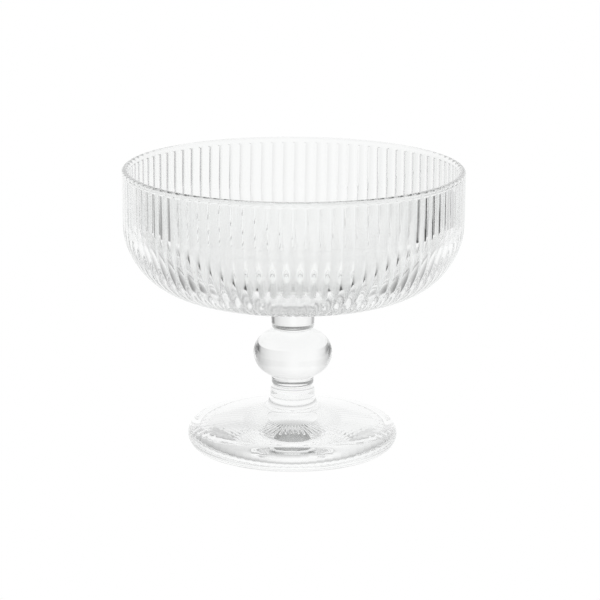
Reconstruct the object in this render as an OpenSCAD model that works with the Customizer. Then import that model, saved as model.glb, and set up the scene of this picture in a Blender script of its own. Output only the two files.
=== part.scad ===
// Low footed dessert glass with a reeded bowl, a ball knop and a reeded foot.
// The origin is the middle of the plane that the foot rests on, and Z points up.

/* [Bowl] */
// Width across the lip
bowl_d = 115; // [100:1:130]
// Height from the lowest outer point of the bowl to the top of the lip
bowl_h = 47.1; // [45.5:0.1:56]
// Upright part of the outer wall, measured down from the top of the lip
wall_h = 17.4; // [10:0.1:18.5]
// Outer radius of the bend between the wall and the floor
bend_r = 25.1; // [20:0.1:28]
// Inner radius of the same bend
inner_bend_r = 22.6; // [16:0.1:24.5]
// How far above the outer bend the inner bend starts
bend_lead = 2.9; // [0:0.1:6]
// Thickness of the lip, which is fully rounded, and of the wall below it
wall_t = 2.4; // [2:0.1:3.5]
// Thickness of the floor above the stem
floor_t = 7.2; // [3:0.1:9]
// How far the lip stands out past the crests of the reeds
lip_proud = 0.12; // [0.06:0.02:0.3]
// Width of the flat disc under the bowl that is fused to the stem
bowl_seat_d = 20; // [17:0.5:26]

/* [Bowl reeds] */
// Number of reeds round the bowl
reed_count = 90; // [60:1:100]
// Depth of the valleys between the reeds on the upright wall
reed_depth = 0.5; // [0.3:0.05:1]

/* [Stem] */
// Width of the upper collar where it meets the bowl
upper_collar_d = 15; // [14.4:0.1:16.5]
// Width of the upper collar above its rounded lower edge
upper_collar_low_d = 14.4; // [13.6:0.1:15]
// Height of the upper collar
upper_collar_h = 8.5; // [6:0.1:12]
// Radius of the rounded lower edge of the upper collar
upper_collar_round = 1.1; // [0.6:0.1:1.5]
// Widest part of the ball
ball_d = 26.7; // [24:0.1:30]
// Height that the ball would have if it were not cut flat for the collars
ball_h = 18.8; // [17:0.1:22]
// Radius of the ball's side, seen in profile
ball_side_r = 7.5; // [6.8:0.1:8.4]
// Width of the lower collar
lower_collar_d = 14.2; // [13.6:0.1:15]
// Height of the lower collar
lower_collar_h = 3.65; // [3:0.05:6]
// Radius of the rounded lower edge of the lower collar
lower_collar_round = 1.5; // [0.6:0.1:2]

/* [Foot] */
// Width of the foot
foot_d = 71.1; // [62:0.1:80]
// Thickness of the foot's fully rounded edge
foot_edge_t = 9.3; // [7:0.1:11]
// Height at which the foot's coned top would meet the neck
foot_crown_h = 14.6; // [13:0.1:17]
// Width of the neck
neck_d = 15; // [14:0.1:16.5]
// Height of the neck above its flare, rounded edge included
neck_h = 2.7; // [1.9:0.1:7]
// Radius of the flare between the neck and the top of the foot
flare_r = 5; // [3:0.1:5.4]
// Radius of the neck's rounded upper edge
neck_round = 0.9; // [0.4:0.1:1.3]

/* [Foot underside] */
// Width of the flat resting ring between the recess and the foot's round edge
rest_ring_w = 1.4; // [0.5:0.1:6]
// Depth of the recess at its outer edge
recess_edge_h = 1.1; // [0.8:0.05:2]
// Depth of the recess at its middle
recess_mid_h = 3.2; // [2.2:0.1:5]
// Number of reeds under the foot, which is also the number of rays round its middle
foot_reed_count = 56; // [30:1:64]
// Height of a foot reed at the outer edge of the recess
foot_reed_depth = 0.5; // [0.3:0.05:0.75]
// Length of the foot reeds, measured inwards from the edge of the recess
foot_reed_l = 3.5; // [2:0.5:6]
// Width of the plain disc in the middle of the recess
hub_d = 15; // [12:0.5:22]
// Length of the rays that run outwards from that disc
hub_ray_l = 7; // [3:0.5:9]
// Height of a ray at the edge of the disc
hub_ray_depth = 0.2; // [0.1:0.05:0.4]
// How far the disc stands out below the rays
hub_drop = 0.1; // [0.05:0.05:0.6]

/* [Hidden] */

$fn = 96;
overrun = 1;
clear_glass = [0.88, 0.92, 0.92, 0.45];

// Depth across one reed, from its valley over the crest, as shares of the valley's depth.
reed_depth_shares = [1, 1 / 4, 0, 1 / 4];
reed_points = len(reed_depth_shares);
// A bend takes up at most this share of the height that it turns in.
bend_share = 0.94;
bend_steps = 6;
floor_steps = 3;
lip_steps = 4;
flare_steps = 8;

function crown_radius(reach, drop, bend) =
    (drop * drop + reach * reach - bend * bend) / (2 * (drop - bend));
function direction(angle) = [cos(angle), sin(angle)];

bowl_r = bowl_d / 2;
lip_r = wall_t / 2;
lip_centre = [bowl_r - lip_r, bowl_h - lip_r];
crest_r = bowl_r - lip_proud;
bend_drop = bowl_h - wall_h;
outside_bend_r = min(bend_r, bend_drop * bend_share);
bend_centre = [crest_r - outside_bend_r, bend_drop];
floor_r = crown_radius(bend_centre.x, bend_drop, outside_bend_r);
floor_centre = [0, floor_r];
bend_sweep = atan2(floor_centre.y - bend_centre.y, bend_centre.x);
bowl_seat_r = bowl_seat_d / 2;
seat_angle = acos(bowl_seat_r / floor_r);
bowl_seat_z = floor_r - sqrt(floor_r * floor_r - bowl_seat_r * bowl_seat_r);

inside_r = bowl_r - wall_t;
inside_floor_z = bowl_seat_z + floor_t;
inside_bend_z = bend_drop + bend_lead;
inside_drop = inside_bend_z - inside_floor_z;
inside_bend_r = min(inner_bend_r, inside_drop * bend_share);
inside_bend_centre = [inside_r - inside_bend_r, inside_bend_z];
inside_floor_r = crown_radius(inside_bend_centre.x, inside_drop, inside_bend_r);
inside_floor_centre = [0, inside_floor_z + inside_floor_r];
inside_sweep = atan2(inside_floor_centre.y - inside_bend_centre.y, inside_bend_centre.x);

upper_collar_r = upper_collar_d / 2;
upper_collar_low_r = upper_collar_low_d / 2;
upper_seat_r = upper_collar_low_r - upper_collar_round;
lower_collar_r = lower_collar_d / 2;

ball_r = ball_d / 2;
ball_rise = ball_h / 2;
ball_side_x = ball_r - ball_side_r;
ball_cap_r = crown_radius(ball_side_x, ball_rise, ball_side_r);
// Reach of the caps, where they run smoothly into the side arc.
ball_cap_x = ball_side_x * ball_cap_r / (ball_cap_r - ball_side_r);
function ball_height_at(radius) =
    ball_rise - ball_cap_r + sqrt(ball_cap_r * ball_cap_r - radius * radius);
ball_top = ball_height_at(upper_seat_r);
ball_bottom = ball_height_at(lower_collar_r);

foot_r = foot_d / 2;
edge_r = foot_edge_t / 2;
edge_centre = [foot_r - edge_r, edge_r];
neck_r = neck_d / 2;
cone_corner = [neck_r, foot_crown_h];
cone_span = edge_centre - cone_corner;
cone_slope = atan2(-cone_span.y, cone_span.x) - asin(edge_r / norm(cone_span));
cone_end = edge_centre + edge_r * [sin(cone_slope), cos(cone_slope)];
flare_centre = [neck_r + flare_r,
    foot_crown_h - flare_r * tan(cone_slope) + flare_r / cos(cone_slope)];

foot_h = flare_centre.y + neck_h;

recess_r = edge_centre.x - rest_ring_w;
hub_r = hub_d / 2;
reed_end_r = recess_r - foot_reed_l;
ray_end_r = hub_r + hub_ray_l;
function recess_roof(radius) = recess_mid_h + (recess_edge_h - recess_mid_h) * radius / recess_r;
hub_bottom = recess_roof(hub_r) - hub_ray_depth - hub_drop;

lower_collar_z = foot_h;
ball_z = lower_collar_z + lower_collar_h + ball_bottom;
upper_collar_z = ball_z + ball_top;
bowl_z = upper_collar_z + upper_collar_h - bowl_seat_z;

// Line of the outside through the reed crests, from the flat seat up to the wall: place and outward angle.
outside_line = concat(
    [for (i = [0:floor_steps])
        let (angle = -seat_angle + (seat_angle - bend_sweep) * i / floor_steps)
        [floor_centre + floor_r * direction(angle), angle]],
    [for (i = [1:bend_steps])
        let (angle = -bend_sweep * (1 - i / bend_steps))
        [bend_centre + outside_bend_r * direction(angle), angle]]
);

// Line of the lip and the inside, from the lip's outer edge over the top and down to the floor.
inside_line = concat(
    [for (i = [0:lip_steps]) lip_centre + lip_r * direction(180 * i / lip_steps)],
    [for (i = [0:bend_steps])
        inside_bend_centre + inside_bend_r * direction(-inside_sweep * i / bend_steps)],
    [for (i = [1:floor_steps])
        let (angle = -inside_sweep - (90 - inside_sweep) * i / (floor_steps + 1))
        inside_floor_centre + inside_floor_r * direction(angle)]
);

function turned(place, turn) = [place.x * cos(turn), place.x * sin(turn), place.y];

// A valley lies on the front of the glass, at -Y.
function reed_turn(reed, point) = (reed + point / reed_points) * 360 / reed_count - 90;

// The valleys get shallower with the reed spacing and vanish at the flat seat.
function reeded_ring(place, angle, depth) =
    [for (reed = [0:reed_count - 1], k = [0:reed_points - 1])
        turned(place - depth * reed_depth_shares[k] * direction(angle),
            reed_turn(reed, k))];

// Scalloped edge where the reeds run out under the rounded lip.
function scalloped_ring() =
    [for (reed = [0:reed_count - 1], k = [0:reed_points - 1])
        let (
            radius = crest_r - reed_depth * reed_depth_shares[k],
            drop = sqrt(lip_r * lip_r - pow(radius - lip_centre.x, 2))
        )
        turned([radius, lip_centre.y - drop], reed_turn(reed, k))];

function plain_ring(place) =
    [for (reed = [0:reed_count - 1]) turned(place, reed_turn(reed, reed_points / 2))];

// Triangles between two rings of the same count, where the second ring is further along the walk.
function band(first, count) =
    [for (i = [0:count - 1])
        let (a = first + i, b = first + (i + 1) % count)
        each [[a + count, b + count, b], [a + count, b, a]]];

// The bowl is one closed skin, walked from the seat up the outside, over the lip and down the inside.
module bowl() {
    fine = reed_count * reed_points;
    bands = len(outside_line);
    scallop = bands * fine;
    coarse = scallop + fine;
    inside_rings = len(inside_line);
    floor_ring = coarse + (inside_rings - 1) * reed_count;
    under = floor_ring + reed_count;
    points = concat(
        [for (j = [0:bands - 1])
            let (place = outside_line[j][0], depth = j == 0 ? 0 : reed_depth * place.x / crest_r)
            each reeded_ring(place, outside_line[j][1], depth)],
        scalloped_ring(),
        [for (place = inside_line) each plain_ring(place)],
        [[0, 0, bowl_seat_z], [0, 0, inside_floor_z]]
    );
    faces = concat(
        [for (i = [0:fine - 1]) [under, i, (i + 1) % fine]],
        [for (j = [0:bands - 1]) each band(j * fine, fine)],
        [for (reed = [0:reed_count - 1])
            let (
                foot = scallop + reed * reed_points,
                next_foot = scallop + (reed + 1) % reed_count * reed_points,
                tip = coarse + reed,
                next_tip = coarse + (reed + 1) % reed_count
            )
            each [
                for (k = [0:reed_points - 2]) [tip, foot + k + 1, foot + k],
                [tip, next_foot, foot + reed_points - 1],
                [tip, next_tip, next_foot]
            ]],
        [for (j = [0:inside_rings - 2]) each band(coarse + j * reed_count, reed_count)],
        [for (i = [0:reed_count - 1]) [under + 1, floor_ring + (i + 1) % reed_count, floor_ring + i]]
    );
    color(clear_glass)
        translate([0, 0, bowl_z])
            polyhedron(points = points, faces = faces, convexity = 4);
}

module upper_collar() {
    color(clear_glass)
        translate([0, 0, upper_collar_z])
            rotate_extrude() {
                polygon([
                    [0, upper_collar_round],
                    [upper_collar_low_r, upper_collar_round],
                    [upper_collar_r, upper_collar_h],
                    [0, upper_collar_h]
                ]);
                square([upper_seat_r, upper_collar_h]);
                translate([upper_seat_r, upper_collar_round])
                    circle(r = upper_collar_round);
            }
}

// Flattened ball: two side arcs and two cap arcs, cut flat for the collars.
module ball_knop() {
    color(clear_glass)
        translate([0, 0, ball_z])
            rotate_extrude()
                intersection() {
                    translate([0, -ball_bottom])
                        square([ball_r, ball_top + ball_bottom]);
                    union() {
                        translate([ball_side_x, 0])
                            circle(r = ball_side_r);
                        intersection() {
                            translate([0, ball_rise - ball_cap_r])
                                circle(r = ball_cap_r);
                            translate([0, ball_cap_r - ball_rise])
                                circle(r = ball_cap_r);
                            square([2 * ball_cap_x, ball_h], center = true);
                        }
                    }
                }
}

module lower_collar() {
    color(clear_glass)
        translate([0, 0, lower_collar_z])
            rotate_extrude() {
                translate([0, lower_collar_round])
                    square([lower_collar_r, lower_collar_h - lower_collar_round]);
                square([lower_collar_r - lower_collar_round, lower_collar_h]);
                translate([lower_collar_r - lower_collar_round, lower_collar_round])
                    circle(r = lower_collar_round);
            }
}

// Half section of the foot without its recess: cone, flare and neck in one outline, then the round edges.
module foot_section() {
    polygon(concat(
        [[0, 0], [edge_centre.x, 0], edge_centre, cone_end],
        [for (i = [0:flare_steps])
            flare_centre + flare_r * direction(-90 - cone_slope - (90 - cone_slope) * i / flare_steps)],
        [[neck_r, foot_h - neck_round], [neck_r - neck_round, foot_h], [0, foot_h]]
    ));
    translate(edge_centre)
        circle(r = edge_r);
    translate([neck_r - neck_round, foot_h - neck_round])
        circle(r = neck_round);
}

// One ring of the recess: the reeds and rays under the foot hang down from its roof.
function recess_ring(radius, roof, reed_h) =
    [for (reed = [0:foot_reed_count - 1], k = [0:reed_points - 1])
        turned([radius, roof - reed_h * (1 - reed_depth_shares[k])],
            (reed + k / reed_points) * 360 / foot_reed_count)];

// Space under the foot, walked from below the table plane over the reeded roof to the hub.
module foot_recess() {
    count = foot_reed_count * reed_points;
    rings = [
        recess_ring(recess_r, -overrun, 0),
        recess_ring(recess_r, recess_edge_h, foot_reed_depth),
        recess_ring(reed_end_r, recess_roof(reed_end_r), 0),
        recess_ring(ray_end_r, recess_roof(ray_end_r), 0),
        recess_ring(hub_r, recess_roof(hub_r), hub_ray_depth),
        recess_ring(hub_r, hub_bottom, 0)
    ];
    last = (len(rings) - 1) * count;
    under = last + count;
    points = concat([for (ring = rings) each ring], [[0, 0, -overrun], [0, 0, hub_bottom]]);
    faces = concat(
        [for (i = [0:count - 1]) [under, i, (i + 1) % count]],
        [for (j = [0:len(rings) - 2]) each band(j * count, count)],
        [for (i = [0:count - 1]) [under + 1, last + (i + 1) % count, last + i]]
    );
    polyhedron(points = points, faces = faces, convexity = 4);
}

module foot() {
    color(clear_glass)
        difference() {
            rotate_extrude()
                foot_section();
            foot_recess();
        }
}

bowl();
upper_collar();
ball_knop();
lower_collar();
foot();
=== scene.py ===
"""Clear pressed-glass dessert bowl on a ball stem and a reeded foot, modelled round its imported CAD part.

Lengths are in metres, in the part's own frame: Z is up, and the glass stands on the plane Z = 0.
"""

import math
from typing import NamedTuple

import bpy
import numpy as np
from mathutils import Matrix, Vector


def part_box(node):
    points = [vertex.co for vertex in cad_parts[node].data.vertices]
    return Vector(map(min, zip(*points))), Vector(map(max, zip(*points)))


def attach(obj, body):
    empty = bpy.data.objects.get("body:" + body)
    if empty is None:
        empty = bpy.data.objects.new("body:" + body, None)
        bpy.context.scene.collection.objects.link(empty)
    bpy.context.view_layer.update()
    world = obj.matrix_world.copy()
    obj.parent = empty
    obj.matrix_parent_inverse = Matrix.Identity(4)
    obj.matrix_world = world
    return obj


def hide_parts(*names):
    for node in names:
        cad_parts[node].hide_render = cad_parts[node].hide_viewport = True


bl_info = {
    "name": "Footed Dessert Glass",
    "version": (1, 0, 0),
    "blender": (4, 5, 0),
    "location": "3D View > Sidebar > Glass",
    "description": "Models a clear pressed-glass dessert bowl on a ball stem and a reeded foot",
    "category": "Add Mesh",
}

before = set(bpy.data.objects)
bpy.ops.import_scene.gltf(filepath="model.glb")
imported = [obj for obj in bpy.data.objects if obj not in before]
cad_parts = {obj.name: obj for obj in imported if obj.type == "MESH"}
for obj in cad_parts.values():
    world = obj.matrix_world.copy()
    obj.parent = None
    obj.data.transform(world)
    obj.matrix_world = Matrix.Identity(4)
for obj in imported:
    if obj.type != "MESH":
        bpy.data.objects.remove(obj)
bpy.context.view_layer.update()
BODY = "root"

BOWL_LOW, BOWL_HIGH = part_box("bowl")
UPPER_LOW, UPPER_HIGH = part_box("upper_collar")
BALL_LOW, BALL_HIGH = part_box("ball_knop")
LOWER_LOW, LOWER_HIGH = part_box("lower_collar")
_, FOOT_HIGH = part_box("foot")

TENTH_OF_MM_DIGITS = 4
MERGE_GAP = 1e-6
SAME_HEIGHT = 1e-6
FULL_TURN = 2 * math.pi

# Steps round one reed, round one sector of a plain piece, and along each stretch of an outline.
REED_STEPS = 12
ROUND_SECTORS = 32
ROUND_SECTOR_STEPS = 8
BEND_STEPS = 18
FLOOR_STEPS = 10
LIP_STEPS = 18
RUN_OUT_STEPS = 7
EDGE_STEPS = 22
FLARE_STEPS = 14
CORNER_STEPS = 5
CAP_STEPS = 16
SIDE_STEPS = 28
ROOF_STEPS = 6
CREASE_ANGLE = math.radians(50)
# Reed weights are rounded, so that vertices of like depth are set together.
WEIGHT_DIGITS = 3

# Widths of the mould's ripples and of the faint green clouds in each piece, and what they do.
BOWL_RIPPLE, BOWL_CLOUD = 0.012, 0.050
KNOP_RIPPLE, KNOP_CLOUD = 0.009, 0.020
COLLAR_RIPPLE, COLLAR_CLOUD = 0.007, 0.020
FOOT_RIPPLE, FOOT_CLOUD = 0.010, 0.040
RIPPLE_DETAIL, CLOUD_DETAIL = 1, 3
RIPPLE_HEIGHT = 0.00006
RIPPLE_STRENGTH = 0.5
MOST_ROUGHNESS = 0.012
GLASS_IOR = 1.52

BLACK, WHITE = (0, 0, 0, 1), (1, 1, 1, 1)
# Places round the room, as shares of the half turn from its back to behind the camera.
BACK_END, SIDE_START, SIDE_END = 0.14, 0.3, 0.7
# Places up the room, as the upward part of a way of length 1.
WALL_TOP, CEILING_START = 0.25, 0.7
CARD_SOFT_END = 0.03
# Painted shade on the glowing floor, which only the glass sees: how much the floor is dimmed, by the turn
# from the back to the front and by the share of its radius.
FLOOR_SHADE_TURN_SHARES = ((0, 0), (0.35, 0), (0.5, 0.7), (0.62, 1), (0.85, 1), (0.95, 0.3), (1, 0.3))
FLOOR_SHADE_REACH_SHARES = ((0, 0), (0.165, 0), (0.185, 1), (0.5, 1), (0.8, 0), (1, 0))
# Light turns back many times inside the thick glass, and a lower limit would leave black specks.
BOUNCES = 32

# The photograph's frame, and the camera that was fitted to the outline of the glass in it.
IMAGE_SIDE = 600
FOCAL_PIXELS = 2832.8
TARGET_PIXEL = (293.075, 308.312)
CAMERA_DISTANCE = 0.957
CAMERA_RISE = math.radians(13.997)
CAMERA_ROLL = math.radians(0.316)
TARGET_HEIGHT = 0.048


def across(high):
    """Full width of a round node, from the far corner of its box."""
    return round(2 * high.x, TENTH_OF_MM_DIGITS)


def length(name, description, default):
    """A size that the sidebar shows in units of length."""
    return bpy.props.FloatProperty(
        name=name, description=description, default=default, min=0, precision=5, unit="LENGTH"
    )


def colour(name, description, default):
    """A colour that the sidebar shows as a swatch."""
    return bpy.props.FloatVectorProperty(
        name=name, description=description, default=default, size=4, min=0, max=1, subtype="COLOR"
    )


class BowlSizes(bpy.types.PropertyGroup):
    lip_width: length("Lip Width", "Width across the lip", across(BOWL_HIGH))
    depth: length("Depth", "Height from the lowest outer point to the lip", 0.0471)
    wall_height: length("Wall Height", "Upright part of the wall", 0.0174)
    bend_radius: length("Bend Radius", "Outer bend between wall and floor", 0.0251)
    inner_bend_radius: length("Inner Bend Radius", "Inner bend between wall and floor", 0.0228)
    bend_lead: length("Inner Bend Lead", "How far above the outer bend the inner one starts", 0.0022)
    thickness: length("Wall Thickness", "Thickness of the wall and its round lip", 0.0024)
    floor_thickness: length("Floor Thickness", "Thickness above the stem", 0.0062)
    lip_proud: length("Lip Overhang", "How far the lip stands past the reed crests", 0.00012)
    seat_width: length("Seat Width", "Flat disc above the stem", 0.020)
    reed_start: length("Reed Start", "Distance in which the reeds rise from the seat", 0.006)
    reed_depth: length("Reed Depth", "Depth of the valleys between reeds", 0.0006)
    reed_power: bpy.props.FloatProperty(
        name="Reed Fullness", description="2 is a round reed, more is flatter on top", default=2, min=1
    )
    reed_count: bpy.props.IntProperty(
        name="Reeds", description="Number of reeds round the bowl", default=90, min=3
    )


class StemSizes(bpy.types.PropertyGroup):
    upper_width: length("Upper Collar Width", "Width under the bowl", across(UPPER_HIGH))
    upper_low_width: length("Upper Collar Waist", "Width above the round edge", 0.0144)
    upper_round: length("Upper Collar Edge", "Radius of its lower edge", 0.0013)
    ball_width: length("Ball Width", "Widest part of the ball", across(BALL_HIGH))
    ball_height: length("Ball Height", "Height of the ball before it is cut flat", 0.0188)
    ball_side_radius: length("Ball Side Radius", "Profile radius of the ball's side", 0.0075)
    lower_width: length("Lower Collar Width", "Width under the ball", across(LOWER_HIGH))
    lower_round: length("Lower Collar Edge", "Radius of its lower edge", 0.0015)


class FootSizes(bpy.types.PropertyGroup):
    width: length("Foot Width", "Width across the foot", across(FOOT_HIGH))
    edge_thickness: length("Edge Thickness", "Thickness of the round edge", 0.0093)
    crown_height: length("Crown Height", "Height where cone and neck would meet", 0.0146)
    neck_width: length("Neck Width", "Width of the neck", 0.015)
    neck_round: length("Neck Edge", "Radius of the neck's upper edge", 0.0016)
    flare_radius: length("Flare Radius", "Radius between neck and cone", 0.005)
    ring_width: length("Resting Ring", "Width of the flat ring that it rests on", 0.0014)
    ring_round: length("Ring Edge", "Radius of the ring's inner edge", 0.0004)
    recess_edge: length("Recess Edge", "Depth of the recess at its rim", 0.0011)
    recess_middle: length("Recess Middle", "Depth of the recess at its middle", 0.0032)
    hub_width: length("Hub Width", "Plain disc in the middle of the recess", 0.015)
    hub_drop: length("Hub Drop", "How far the hub stands below the rays", 0.0001)
    ray_length: length("Ray Length", "Length of the rays round the hub", 0.008)
    ray_depth: length("Ray Height", "Height of the rays at the hub", 0.0003)
    reed_length: length("Reed Length", "Length of the reeds at the recess edge", 0.0035)
    reed_depth: length("Reed Height", "Height of the reeds at the recess edge", 0.0001)
    reed_count: bpy.props.IntProperty(
        name="Reeds", description="Number of reeds, and of rays, under the foot", default=56, min=3
    )


class FinishColours(bpy.types.PropertyGroup):
    clear: colour("Clear Glass", "Glass where it is thin", (0.994, 0.997, 0.995, 1))
    green: colour("Green Glass", "Faint green of thick soda glass", (0.974, 0.983, 0.979, 1))
    paper: colour("Floor", "Pale floor under the glass", (1.0, 1.0, 1.0, 1))


def brightness(name, description, default):
    """A brightness between black and white."""
    return bpy.props.FloatProperty(
        name=name, description=description, default=default, min=0, max=1, subtype="FACTOR"
    )


def rotation(name, description, default):
    """An angle that the sidebar shows in degrees."""
    return bpy.props.FloatProperty(
        name=name, description=description, default=default, min=-math.pi, max=math.pi, subtype="ANGLE"
    )


class StudioLight(bpy.types.PropertyGroup):
    room: brightness("Room", "Brightness of the room outside the cards", 0.75)
    front: brightness("Front", "Brightness behind the camera", 0.75)
    ceiling: brightness("Ceiling", "Brightness of the ceiling", 0.6)
    overhead: brightness("Overhead", "Brightness straight above the glass", 0.35)
    card_left: brightness("Left Card", "Brightness of the dark card on the left", 0.5)
    card_right: brightness("Right Card", "Brightness of the dark card on the right", 0.1)
    right_share: brightness("Right Side", "Brightness of the right side, as a share of the left", 0.7)
    # Painted shade: the floor's darkest glow in front of the glass, which only the glass sees.
    painted_front_shade: brightness("Floor in Front", "Brightness of the floor in front of the glass", 0.05)
    card_bearing: rotation("Card Bearing", "Turn of each card's middle from the back", math.radians(70))
    card_width: rotation("Card Width", "Width of each card as an angle", math.radians(30))
    card_edge: rotation("Card Edge", "Width of each card's soft edge", math.radians(10))
    card_bottom: rotation("Card Bottom", "Lower end of each card, above the horizon", math.radians(-25))
    card_top: rotation("Card Top", "Upper end of each card, above the horizon", math.radians(2))


class DessertGlassSettings(bpy.types.PropertyGroup):
    bowl: bpy.props.PointerProperty(type=BowlSizes)
    stem: bpy.props.PointerProperty(type=StemSizes)
    foot: bpy.props.PointerProperty(type=FootSizes)
    finish: bpy.props.PointerProperty(type=FinishColours)
    light: bpy.props.PointerProperty(type=StudioLight)
    floor_width: length("Floor Width", "Width of the pale floor", 0.5)


class Row(NamedTuple):
    """A point of a half outline.

    reed is how deep the reeds are there, and room the most that they may be, as shares of their full depth.
    """

    x: float
    z: float
    reed: float = 0.0
    room: float = 1.0


def arc(centre, radius, start, end, steps):
    """Rows of an arc in the XZ plane, from one angle to another, both ends included."""
    return [
        Row(centre[0] + radius * math.cos(angle), centre[1] + radius * math.sin(angle))
        for angle in (start + (end - start) * i / steps for i in range(steps + 1))
    ]


def line(start, end, steps):
    """Rows of a straight line, both ends included."""
    return [
        Row(start[0] + (end[0] - start[0]) * i / steps, start[1] + (end[1] - start[1]) * i / steps)
        for i in range(steps + 1)
    ]


def joined(*runs):
    """The runs of rows one after another, without the points that they share."""
    rows = []
    for run in runs:
        for row in run:
            if not rows or math.dist(rows[-1][:2], row[:2]) > MERGE_GAP:
                rows.append(row)
    return rows


def crown_radius(reach, drop, bend):
    """Radius of a shallow crown that runs smoothly into a bend."""
    return (drop * drop + reach * reach - bend * bend) / (2 * (drop - bend))


def bowl_outside(size):
    """Outside of the bowl through its reed crests, from the middle of the seat up to the lip."""
    radius = size.lip_width / 2
    bend_z = BOWL_HIGH.z - size.wall_height
    bend_x = radius - size.lip_proud - size.bend_radius
    drop = size.depth - size.wall_height
    floor_radius = crown_radius(bend_x, drop, size.bend_radius)
    floor_z = BOWL_HIGH.z - size.depth + floor_radius
    sweep = math.atan2(floor_z - bend_z, bend_x)
    seat_radius = size.seat_width / 2
    seat_angle = math.acos(seat_radius / floor_radius)
    seat = [Row(0, BOWL_LOW.z), Row(UPPER_HIGH.x, BOWL_LOW.z), Row(seat_radius, BOWL_LOW.z)]
    floor = arc((0, floor_z), floor_radius, -seat_angle, -sweep, FLOOR_STEPS)
    bend = arc((bend_x, bend_z), size.bend_radius, -sweep, 0, BEND_STEPS)
    return joined(
        seat,
        [
            row._replace(
                reed=min(1, (row.x - seat_radius) / size.reed_start) * row.x / (bend_x + size.bend_radius)
            )
            for row in floor + bend
        ],
    )


def bowl_lip(size):
    """The reeds' run-out under the lip, the round lip and the inside down to the middle of the floor."""
    lip_radius = size.thickness / 2
    lip = (size.lip_width / 2 - lip_radius, BOWL_HIGH.z - lip_radius)
    crest = size.lip_width / 2 - size.lip_proud
    valley_angle = math.acos((crest - size.reed_depth - lip[0]) / lip_radius)
    crest_angle = math.acos((crest - lip[0]) / lip_radius)
    run_out = []
    for i in range(RUN_OUT_STEPS + 1):
        angle = valley_angle + (crest_angle - valley_angle) * i / RUN_OUT_STEPS
        reach, drop = lip_radius * math.cos(angle), lip_radius * math.sin(angle)
        room = (crest - lip[0] - reach) / size.reed_depth
        run_out.append(Row(crest, lip[1] - drop, 1, max(0, room)))

    inside = size.lip_width / 2 - size.thickness
    bend = (inside - size.inner_bend_radius, BOWL_HIGH.z - size.wall_height + size.bend_lead)
    bottom = BOWL_LOW.z + size.floor_thickness
    drop = bend[1] - bottom
    floor_radius = crown_radius(bend[0], drop, size.inner_bend_radius)
    floor_z = bottom + floor_radius
    sweep = math.atan2(floor_z - bend[1], bend[0])
    return joined(
        run_out,
        arc(lip, lip_radius, -crest_angle, math.pi, LIP_STEPS),
        arc(bend, size.inner_bend_radius, 0, -sweep, BEND_STEPS),
        arc((0, floor_z), floor_radius, -sweep, -math.pi / 2, FLOOR_STEPS),
    )


def upper_collar_outline(size):
    low = size.upper_low_width / 2
    centre = (low - size.upper_round, UPPER_LOW.z + size.upper_round)
    return joined(
        [Row(0, UPPER_LOW.z)],
        arc(centre, size.upper_round, -math.pi / 2, 0, CORNER_STEPS),
        [Row(size.upper_width / 2, UPPER_HIGH.z), Row(0, UPPER_HIGH.z)],
    )


def ball_outline(size):
    """Two shallow caps that run smoothly into a rounder side, cut flat where the collars sit."""
    rise = size.ball_height / 2
    side_x = size.ball_width / 2 - size.ball_side_radius
    cap_radius = crown_radius(side_x, rise, size.ball_side_radius)
    top_reach = size.upper_low_width / 2 - size.upper_round
    low_reach = size.lower_width / 2
    cap_top = math.sqrt(cap_radius**2 - top_reach**2)
    middle = BALL_HIGH.z - (rise - cap_radius + cap_top)
    turn = math.atan2(cap_radius - rise, side_x)
    upper, lower = (0, middle + rise - cap_radius), (0, middle - rise + cap_radius)
    return joined(
        [Row(0, BALL_LOW.z)],
        arc(lower, cap_radius, -math.acos(low_reach / cap_radius), -turn, CAP_STEPS),
        arc((side_x, middle), size.ball_side_radius, -turn, turn, SIDE_STEPS),
        arc(upper, cap_radius, turn, math.acos(top_reach / cap_radius), CAP_STEPS),
        [Row(0, BALL_HIGH.z)],
    )


def lower_collar_outline(size):
    centre = (size.lower_width / 2 - size.lower_round, LOWER_LOW.z + size.lower_round)
    return joined(
        [Row(0, LOWER_LOW.z)],
        arc(centre, size.lower_round, -math.pi / 2, 0, CORNER_STEPS),
        [Row(size.lower_width / 2, LOWER_HIGH.z), Row(0, LOWER_HIGH.z)],
    )


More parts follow.
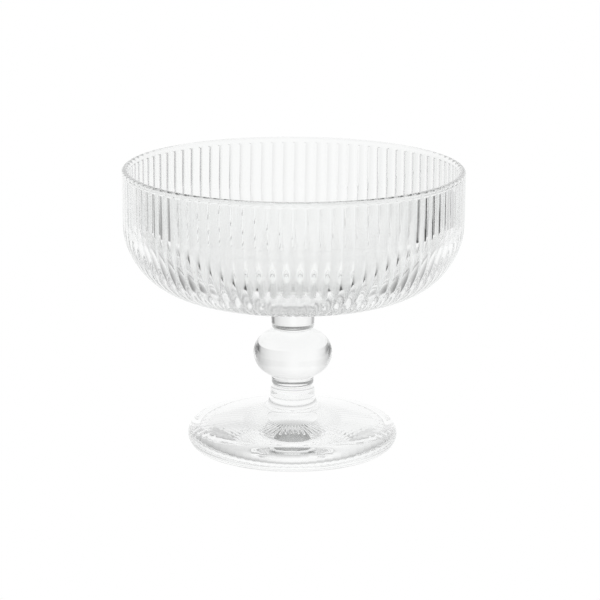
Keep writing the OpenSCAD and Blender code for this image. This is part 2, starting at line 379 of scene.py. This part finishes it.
def foot_outline(size, weld_radius):
    """The recess from its hub outwards, the round edge, the cone, the flare and the neck."""
    edge_radius = size.edge_thickness / 2
    edge = (size.width / 2 - edge_radius, edge_radius)
    neck = size.neck_width / 2
    recess = edge[0] - size.ring_width
    hub = size.hub_width / 2
    rays_end, reeds_end = hub + size.ray_length, recess - size.reed_length

    def roof_line(start, end):
        rise = size.recess_edge - size.recess_middle
        places = [(x, size.recess_middle + rise * x / recess) for x in (start, end)]
        return line(*places, ROOF_STEPS)

    def ray_share(x):
        return (rays_end - x) / size.ray_length * size.ray_depth / size.reed_depth

    rays = [row._replace(reed=ray_share(row.x)) for row in roof_line(hub, rays_end)]
    reeds = [
        row._replace(reed=(row.x - reeds_end) / size.reed_length) for row in roof_line(reeds_end, recess)
    ]
    hub_bottom = rays[0].z - size.ray_depth - size.hub_drop
    span = (edge[0] - neck, size.crown_height - edge[1])
    slope = math.atan2(span[1], span[0]) - math.asin(edge_radius / math.hypot(*span))
    flare = (
        neck + size.flare_radius,
        size.crown_height + size.flare_radius * (1 / math.cos(slope) - math.tan(slope)),
    )
    ring_corner = (recess + size.ring_round, size.ring_round)
    neck_corner = (neck - size.neck_round, FOOT_HIGH.z - size.neck_round)
    return joined(
        [Row(0, hub_bottom), Row(hub, hub_bottom)],
        rays,
        reeds,
        arc(ring_corner, size.ring_round, math.pi, 3 * math.pi / 2, CORNER_STEPS),
        arc(edge, edge_radius, -math.pi / 2, math.pi / 2 - slope, EDGE_STEPS),
        arc(flare, size.flare_radius, -math.pi / 2 - slope, -math.pi, FLARE_STEPS),
        arc(neck_corner, size.neck_round, 0, math.pi / 2, CORNER_STEPS),
        [Row(weld_radius, FOOT_HIGH.z), Row(0, FOOT_HIGH.z)],
    )


def turned(name, rows, sectors, sector_steps):
    """Draws a half outline point by point in edit mode, spins one sector of it and copies that round Z."""
    bpy.ops.object.select_all(action="DESELECT")
    bpy.ops.mesh.primitive_plane_add(size=rows[1].x, location=(rows[0].x, 0, rows[0].z))
    piece = bpy.context.object
    piece.name = piece.data.name = name
    bpy.ops.object.transform_apply(location=True, rotation=True, scale=True)
    bpy.ops.object.mode_set(mode="EDIT")
    bpy.ops.mesh.select_all(action="SELECT")
    bpy.ops.mesh.merge(type="CENTER")
    for before, after in zip(rows, rows[1:]):
        step = (after.x - before.x, 0, after.z - before.z)
        bpy.ops.mesh.extrude_vertices_move(TRANSFORM_OT_translate={"value": step})
    about = {"center": (0, 0, 0), "axis": (0, 0, 1)}
    sector = FULL_TURN / sectors
    bpy.ops.mesh.select_all(action="SELECT")
    bpy.ops.mesh.spin(steps=sector_steps, angle=sector, **about)
    bpy.ops.mesh.select_all(action="SELECT")
    bpy.ops.mesh.spin(dupli=True, steps=sectors - 1, angle=FULL_TURN - sector, **about)
    bpy.ops.mesh.select_all(action="SELECT")
    bpy.ops.mesh.remove_doubles(threshold=MERGE_GAP)
    bpy.ops.mesh.normals_make_consistent(inside=False)
    bpy.ops.object.mode_set(mode="OBJECT")
    return piece


def vertex_places(piece):
    places = np.empty(3 * len(piece.data.vertices))
    piece.data.vertices.foreach_get("co", places)
    return places.reshape(-1, 3)


def press_reeds(piece, rows, count, start, press_share, depth, direction):
    """Presses evenly spaced reeds into a turned piece, with each row's share of the full depth.

    press_share gives how far the surface is pressed, for the way across a reed from -1 to 1.
    """
    places = vertex_places(piece)
    reach = np.hypot(places[:, 0], places[:, 1])
    outline = np.array([row[:2] for row in rows])
    away = (reach[:, None] - outline[:, 0]) ** 2 + (places[:, 2][:, None] - outline[:, 1]) ** 2
    row_of = away.argmin(axis=1)
    turn = (np.arctan2(places[:, 1], places[:, 0]) - start) * count / FULL_TURN
    pressed = press_share(2 * (turn % 1) - 1)
    reed, room = (np.array([getattr(row, key) for row in rows])[row_of] for key in ("reed", "room"))
    weights = np.minimum(pressed * reed, room * (reed > 0)).round(WEIGHT_DIGITS)
    group = piece.vertex_groups.new(name="Reeds")
    for weight in np.unique(weights[weights > 0]):
        group.add(np.flatnonzero(weights == weight).tolist(), float(weight), "REPLACE")
    bpy.ops.object.modifier_add(type="DISPLACE")
    press = piece.modifiers[-1]
    press.direction = direction
    press.vertex_group = group.name
    press.mid_level = 0
    press.strength = -depth
    bpy.ops.object.modifier_apply(modifier=press.name)
    piece.vertex_groups.remove(piece.vertex_groups[0])


def finish_piece(piece, nodes, welds, finish, ripple_size, cloud_size):
    """Gives a piece its glass, makes its fused discs clear, shades it and puts it on the part."""
    piece.data.materials.append(pressed_glass(piece.name, finish, ripple_size, cloud_size))
    piece.data.materials.append(fused_joint())
    for face in piece.data.polygons:
        if any(
            abs(face.center.z - height) < SAME_HEIGHT and math.hypot(*face.center[:2]) < radius
            for height, radius in welds
        ):
            face.material_index = 1
    bpy.ops.object.shade_smooth_by_angle(angle=CREASE_ANGLE)
    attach(piece, BODY)
    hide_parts(*nodes)


def link(tree, start, end):
    tree.links.new(start, end)


def pressed_finish_group():
    """Faint green clouds, polish that differs a little by place, and shallow ripples from the mould."""
    name = "Pressed Glass Finish"
    if name in bpy.data.node_groups:
        return bpy.data.node_groups[name]
    group = bpy.data.node_groups.new(name, "ShaderNodeTree")
    sockets = group.interface
    for label in ("Clear Colour", "Green Colour"):
        sockets.new_socket(label, in_out="INPUT", socket_type="NodeSocketColor")
    for label in ("Cloud Size", "Ripple Size", "Least Roughness", "Most Roughness"):
        sockets.new_socket(label, in_out="INPUT", socket_type="NodeSocketFloat")
    sockets.new_socket("Colour", in_out="OUTPUT", socket_type="NodeSocketColor")
    sockets.new_socket("Roughness", in_out="OUTPUT", socket_type="NodeSocketFloat")
    sockets.new_socket("Height", in_out="OUTPUT", socket_type="NodeSocketFloat")

    given = group.nodes.new("NodeGroupInput")
    made = group.nodes.new("NodeGroupOutput")
    place = group.nodes.new("ShaderNodeTexCoord")
    clouds = group.nodes.new("ShaderNodeTexNoise")
    ripples = group.nodes.new("ShaderNodeTexNoise")
    tint = group.nodes.new("ShaderNodeMix")
    tint.data_type = "RGBA"
    polish = group.nodes.new("ShaderNodeMapRange")
    clouds.inputs["Detail"].default_value = CLOUD_DETAIL
    ripples.inputs["Detail"].default_value = RIPPLE_DETAIL
    for noise, size in ((clouds, "Cloud Size"), (ripples, "Ripple Size")):
        per_metre = group.nodes.new("ShaderNodeMath")
        per_metre.operation = "DIVIDE"
        per_metre.inputs[0].default_value = 1
        link(group, given.outputs[size], per_metre.inputs[1])
        link(group, per_metre.outputs[0], noise.inputs["Scale"])
        link(group, place.outputs["Object"], noise.inputs["Vector"])
    link(group, clouds.outputs["Fac"], tint.inputs["Factor"])
    link(group, given.outputs["Clear Colour"], tint.inputs["A"])
    link(group, given.outputs["Green Colour"], tint.inputs["B"])
    link(group, clouds.outputs["Fac"], polish.inputs["Value"])
    link(group, given.outputs["Least Roughness"], polish.inputs["To Min"])
    link(group, given.outputs["Most Roughness"], polish.inputs["To Max"])
    link(group, tint.outputs["Result"], made.inputs["Colour"])
    link(group, polish.outputs["Result"], made.inputs["Roughness"])
    link(group, ripples.outputs["Fac"], made.inputs["Height"])
    return group


def pressed_glass(piece_name, finish, ripple_size, cloud_size):
    """Clear soda glass with the finish group's values for one piece."""
    material = bpy.data.materials.new(f"Pressed Glass {piece_name}")
    material.use_nodes = True
    tree = material.node_tree
    shader = tree.nodes["Principled BSDF"]
    shader.inputs["Transmission Weight"].default_value = 1
    shader.inputs["IOR"].default_value = GLASS_IOR
    look = tree.nodes.new("ShaderNodeGroup")
    look.node_tree = pressed_finish_group()
    look.inputs["Clear Colour"].default_value = finish.clear
    look.inputs["Green Colour"].default_value = finish.green
    look.inputs["Cloud Size"].default_value = cloud_size
    look.inputs["Ripple Size"].default_value = ripple_size
    look.inputs["Least Roughness"].default_value = 0
    look.inputs["Most Roughness"].default_value = MOST_ROUGHNESS
    bump = tree.nodes.new("ShaderNodeBump")
    bump.inputs["Strength"].default_value = RIPPLE_STRENGTH
    bump.inputs["Distance"].default_value = RIPPLE_HEIGHT
    link(tree, look.outputs["Colour"], shader.inputs["Base Color"])
    link(tree, look.outputs["Roughness"], shader.inputs["Roughness"])
    link(tree, look.outputs["Height"], bump.inputs["Height"])
    link(tree, bump.outputs["Normal"], shader.inputs["Normal"])
    return material


def fused_joint():
    """The inside of a hot-fused joint, where glass runs on into glass and nothing shows."""
    name = "Fused Joint"
    if name in bpy.data.materials:
        return bpy.data.materials[name]
    material = bpy.data.materials.new(name)
    material.use_nodes = True
    shader = material.node_tree.nodes["Principled BSDF"]
    shader.inputs["Alpha"].default_value = 0
    shader.inputs["Transmission Weight"].default_value = 1
    return material


class GLASS_OT_bowl(bpy.types.Operator):
    """Models the wide bowl with its reeds, its round lip and its smooth inside"""

    bl_idname = "glass.model_bowl"
    bl_label = "Model Bowl"

    def execute(self, context):
        settings = context.scene.dessert_glass
        size = settings.bowl
        rows = joined(bowl_outside(size), bowl_lip(size))
        piece = turned("bowl_glass", rows, size.reed_count, REED_STEPS)

        def press_share(way):
            return abs(way) ** size.reed_power

        press_reeds(piece, rows, size.reed_count, -math.pi / 2, press_share, size.reed_depth, "NORMAL")
        welds = [(BOWL_LOW.z, UPPER_HIGH.x)]
        finish_piece(piece, ["bowl"], welds, settings.finish, BOWL_RIPPLE, BOWL_CLOUD)
        return {"FINISHED"}


class GLASS_OT_knop(bpy.types.Operator):
    """Models the flattened ball in the middle of the stem"""

    bl_idname = "glass.model_knop"
    bl_label = "Model Ball Knop"

    def execute(self, context):
        settings = context.scene.dessert_glass
        piece = turned("knop_glass", ball_outline(settings.stem), ROUND_SECTORS, ROUND_SECTOR_STEPS)
        welds = [(BALL_LOW.z, BALL_HIGH.x), (BALL_HIGH.z, BALL_HIGH.x)]
        finish_piece(piece, ["ball_knop"], welds, settings.finish, KNOP_RIPPLE, KNOP_CLOUD)
        return {"FINISHED"}


class GLASS_OT_collars(bpy.types.Operator):
    """Models the two collars that fuse the ball to the bowl and to the foot"""

    bl_idname = "glass.model_collars"
    bl_label = "Model Collars"

    def execute(self, context):
        settings = context.scene.dessert_glass
        size = settings.stem
        for name, node, rows, low, high in (
            ("upper_collar_glass", "upper_collar", upper_collar_outline(size), UPPER_LOW, UPPER_HIGH),
            ("lower_collar_glass", "lower_collar", lower_collar_outline(size), LOWER_LOW, LOWER_HIGH),
        ):
            piece = turned(name, rows, ROUND_SECTORS, ROUND_SECTOR_STEPS)
            welds = [(low.z, high.x), (high.z, high.x)]
            finish_piece(piece, [node], welds, settings.finish, COLLAR_RIPPLE, COLLAR_CLOUD)
        return {"FINISHED"}


class GLASS_OT_foot(bpy.types.Operator):
    """Models the round foot with its neck and the reeds of its hollow underside"""

    bl_idname = "glass.model_foot"
    bl_label = "Model Foot"

    def execute(self, context):
        settings = context.scene.dessert_glass
        size = settings.foot
        weld_radius = settings.stem.lower_width / 2 - settings.stem.lower_round
        rows = foot_outline(size, weld_radius)
        piece = turned("foot_glass", rows, size.reed_count, REED_STEPS)

        def press_share(way):
            return 1 - way**2

        press_reeds(piece, rows, size.reed_count, 0, press_share, size.reed_depth, "Z")
        welds = [(FOOT_HIGH.z, weld_radius)]
        finish_piece(piece, ["foot"], welds, settings.finish, FOOT_RIPPLE, FOOT_CLOUD)
        return {"FINISHED"}


def place_camera():
    """Puts the camera where the photograph was taken from, with the glass on the same pixels."""
    scene = bpy.context.scene
    target = Vector((0, 0, TARGET_HEIGHT))
    back = Vector((0, -math.cos(CAMERA_RISE), math.sin(CAMERA_RISE)))
    data = bpy.data.cameras.new("Photo Camera")
    data.lens = FOCAL_PIXELS / IMAGE_SIDE * data.sensor_width
    camera = bpy.data.objects.new("Photo Camera", data)
    scene.collection.objects.link(camera)
    turn_right = math.atan((IMAGE_SIDE / 2 - TARGET_PIXEL[0]) / FOCAL_PIXELS)
    turn_up = math.atan((TARGET_PIXEL[1] - IMAGE_SIDE / 2) / FOCAL_PIXELS)
    aim = (-back).to_track_quat("-Z", "Y").to_matrix().to_4x4()
    aim = aim @ Matrix.Rotation(-turn_right, 4, "Y") @ Matrix.Rotation(turn_up, 4, "X")
    aim = aim @ Matrix.Rotation(CAMERA_ROLL, 4, "Z")
    camera.matrix_world = Matrix.Translation(target + back * CAMERA_DISTANCE) @ aim
    scene.camera = camera


def grey_ramp(tree, stops):
    """A colour ramp node of plain greys, from (place, brightness) pairs."""
    node = tree.nodes.new("ShaderNodeValToRGB")
    elements = node.color_ramp.elements
    elements.remove(elements[1])
    for i, (place, grey) in enumerate(stops):
        element = elements.new(place) if i else elements[0]
        element.position = place
        element.color = (grey, grey, grey, 1)
    return node


def bearing(tree, vector):
    """How far a vector points away from the back, which is 0, to the front, which is 1, and its parts."""
    parts = tree.nodes.new("ShaderNodeSeparateXYZ")
    turn, side, share = (tree.nodes.new("ShaderNodeMath") for _ in range(3))
    turn.operation, side.operation, share.operation = "ARCTAN2", "ABSOLUTE", "DIVIDE"
    share.inputs[1].default_value = math.pi
    link(tree, vector, parts.inputs["Vector"])
    link(tree, parts.outputs["X"], turn.inputs[0])
    link(tree, parts.outputs["Y"], turn.inputs[1])
    link(tree, turn.outputs[0], side.inputs[0])
    link(tree, side.outputs[0], share.inputs[0])
    return share.outputs[0], parts


def from_left(tree, side, start, left, right):
    """A brightness that goes evenly from left at a start to right at the right end, where side is 1."""
    node = tree.nodes.new("ShaderNodeMapRange")
    node.inputs["From Min"].default_value = start
    node.inputs["To Min"].default_value = left
    node.inputs["To Max"].default_value = right
    link(tree, side, node.inputs["Value"])
    return node.outputs["Result"]


def dimmed(tree, first, second):
    """One brightness times another."""
    node = tree.nodes.new("ShaderNodeMix")
    node.data_type = "RGBA"
    node.blend_type = "MULTIPLY"
    node.inputs["Factor"].default_value = 1
    link(tree, first, node.inputs["A"])
    link(tree, second, node.inputs["B"])
    return node.outputs["Result"]


def white_for_camera(tree, seen, white):
    """What the glass sees there, but plain white for the camera's own rays."""
    ray = tree.nodes.new("ShaderNodeLightPath")
    node = tree.nodes.new("ShaderNodeMix")
    node.data_type = "RGBA"
    link(tree, ray.outputs["Is Camera Ray"], node.inputs["Factor"])
    link(tree, seen, node.inputs["A"])
    node.inputs["B"].default_value = white
    return node.outputs["Result"]


def card_shade(tree, away, parts, light):
    """1 outside the two dark cards, and their own brightness on them."""
    middle, half = light.card_bearing / math.pi, light.card_width / 2 / math.pi
    edge = light.card_edge / math.pi
    across_card = grey_ramp(
        tree,
        [(middle - half - edge, 0), (middle - half, 1), (middle + half, 1), (middle + half + edge, 0)],
    )
    low, high = ((1 + math.sin(angle)) / 2 for angle in (light.card_bottom, light.card_top))
    up_card = grey_ramp(tree, [(low - CARD_SOFT_END, 0), (low, 1), (high, 1), (high + CARD_SOFT_END, 0)])
    lift = tree.nodes.new("ShaderNodeMapRange")
    lift.inputs["From Min"].default_value = -1
    shade = tree.nodes.new("ShaderNodeMapRange")
    shade.inputs["To Min"].default_value = 1
    on_card = from_left(tree, parts.outputs["X"], -1, light.card_left, light.card_right)
    link(tree, parts.outputs["Z"], lift.inputs["Value"])
    link(tree, away, across_card.inputs["Fac"])
    link(tree, lift.outputs["Result"], up_card.inputs["Fac"])
    link(tree, dimmed(tree, across_card.outputs["Color"], up_card.outputs["Color"]), shade.inputs["Value"])
    link(tree, on_card, shade.inputs["To Max"])
    return shade.outputs["Result"]


def soft_studio(light):
    """A white room, with a dark card at each side and a dim ceiling that only the glass sees."""
    world = bpy.data.worlds.new("Soft Studio")
    bpy.context.scene.world = world
    world.use_nodes = True
    tree = world.node_tree
    tree.nodes.clear()
    way = tree.nodes.new("ShaderNodeTexCoord")
    away, parts = bearing(tree, way.outputs["Generated"])
    round_room = grey_ramp(
        tree, [(0, 1), (BACK_END, 1), (SIDE_START, light.room), (SIDE_END, light.room), (1, light.front)]
    )
    up_room = grey_ramp(tree, [(0, 1), (WALL_TOP, 1), (CEILING_START, light.ceiling), (1, light.overhead)])
    link(tree, away, round_room.inputs["Fac"])
    link(tree, parts.outputs["Z"], up_room.inputs["Fac"])
    room = dimmed(tree, round_room.outputs["Color"], up_room.outputs["Color"])
    room = dimmed(tree, room, card_shade(tree, away, parts, light))
    room = dimmed(tree, room, from_left(tree, parts.outputs["X"], 0, 1, light.right_share))
    glow = tree.nodes.new("ShaderNodeBackground")
    out = tree.nodes.new("ShaderNodeOutputWorld")
    link(tree, white_for_camera(tree, room, WHITE), glow.inputs["Color"])
    link(tree, glow.outputs["Background"], out.inputs["Surface"])


def painted_floor_shade(tree, width, light):
    """The floor's glow with painted shade, which is dim in a half ring in front of the glass."""
    place = tree.nodes.new("ShaderNodeTexCoord")
    reach = tree.nodes.new("ShaderNodeVectorMath")
    reach.operation = "LENGTH"
    share = tree.nodes.new("ShaderNodeMath")
    share.operation = "DIVIDE"
    share.inputs[1].default_value = width / 2
    dim = tree.nodes.new("ShaderNodeMapRange")
    dim.inputs["To Min"].default_value = 1
    dim.inputs["To Max"].default_value = light.painted_front_shade
    round_floor, over_floor = grey_ramp(tree, FLOOR_SHADE_TURN_SHARES), grey_ramp(tree, FLOOR_SHADE_REACH_SHARES)
    away, _ = bearing(tree, place.outputs["Object"])
    link(tree, away, round_floor.inputs["Fac"])
    link(tree, place.outputs["Object"], reach.inputs[0])
    link(tree, reach.outputs["Value"], share.inputs[0])
    link(tree, share.outputs[0], over_floor.inputs["Fac"])
    link(tree, dimmed(tree, round_floor.outputs["Color"], over_floor.outputs["Color"]), dim.inputs["Value"])
    return dim.outputs["Result"]


def pale_floor(width, paper, light):
    """A pale sheet that glows softly, so that the glass throws no shadow on it."""
    bpy.ops.object.select_all(action="DESELECT")
    sides = ROUND_SECTORS * ROUND_SECTOR_STEPS
    bpy.ops.mesh.primitive_circle_add(vertices=sides, radius=width / 2, fill_type="NGON")
    floor = bpy.context.object
    floor.name = "pale_floor"
    material = bpy.data.materials.new("Pale Floor")
    material.use_nodes = True
    tree = material.node_tree
    shader = tree.nodes["Principled BSDF"]
    shader.inputs["Base Color"].default_value = BLACK
    shader.inputs["Specular IOR Level"].default_value = 0
    shader.inputs["Emission Strength"].default_value = 1
    # Painted shade in a half ring in front of the glass, which only the glass sees; the camera sees plain
    # paper.
    seen = white_for_camera(tree, painted_floor_shade(tree, width, light), paper)
    link(tree, seen, shader.inputs["Emission Color"])
    floor.data.materials.append(material)


class GLASS_OT_studio(bpy.types.Operator):
    """Sets up the pale floor, the soft light and the camera"""

    bl_idname = "glass.set_studio"
    bl_label = "Set Studio"

    def execute(self, context):
        settings = context.scene.dessert_glass
        context.scene.view_settings.view_transform = "Standard"
        cycles = context.scene.cycles
        cycles.max_bounces = cycles.transmission_bounces = cycles.glossy_bounces = BOUNCES
        cycles.transparent_max_bounces = BOUNCES
        pale_floor(settings.floor_width, settings.finish.paper, settings.light)
        soft_studio(settings.light)
        place_camera()
        return {"FINISHED"}


class GLASS_PT_panel(bpy.types.Panel):
    """Lists the steps that model the glass, and its sizes and colours"""

    bl_idname = "GLASS_PT_panel"
    bl_label = "Footed Dessert Glass"
    bl_space_type = "VIEW_3D"
    bl_region_type = "UI"
    bl_category = "Glass"

    def draw(self, context):
        settings = context.scene.dessert_glass
        for operator in OPERATORS:
            self.layout.operator(operator.bl_idname)
        for group in (settings.bowl, settings.stem, settings.foot, settings.finish, settings.light):
            box = self.layout.box()
            for name in group.__annotations__:
                box.prop(group, name)
        self.layout.prop(settings, "floor_width")


OPERATORS = (GLASS_OT_bowl, GLASS_OT_knop, GLASS_OT_collars, GLASS_OT_foot, GLASS_OT_studio)
CLASSES = (
    BowlSizes,
    StemSizes,
    FootSizes,
    FinishColours,
    StudioLight,
    DessertGlassSettings,
    *OPERATORS,
    GLASS_PT_panel,
)


def register():
    for cls in CLASSES:
        bpy.utils.register_class(cls)
    bpy.types.Scene.dessert_glass = bpy.props.PointerProperty(type=DessertGlassSettings)


def unregister():
    del bpy.types.Scene.dessert_glass
    for cls in reversed(CLASSES):
        bpy.utils.unregister_class(cls)


def main():
    register()
    bpy.ops.glass.model_bowl()
    bpy.ops.glass.model_knop()
    bpy.ops.glass.model_collars()
    bpy.ops.glass.model_foot()
    bpy.ops.glass.set_studio()


if __name__ == "__main__":
    main()
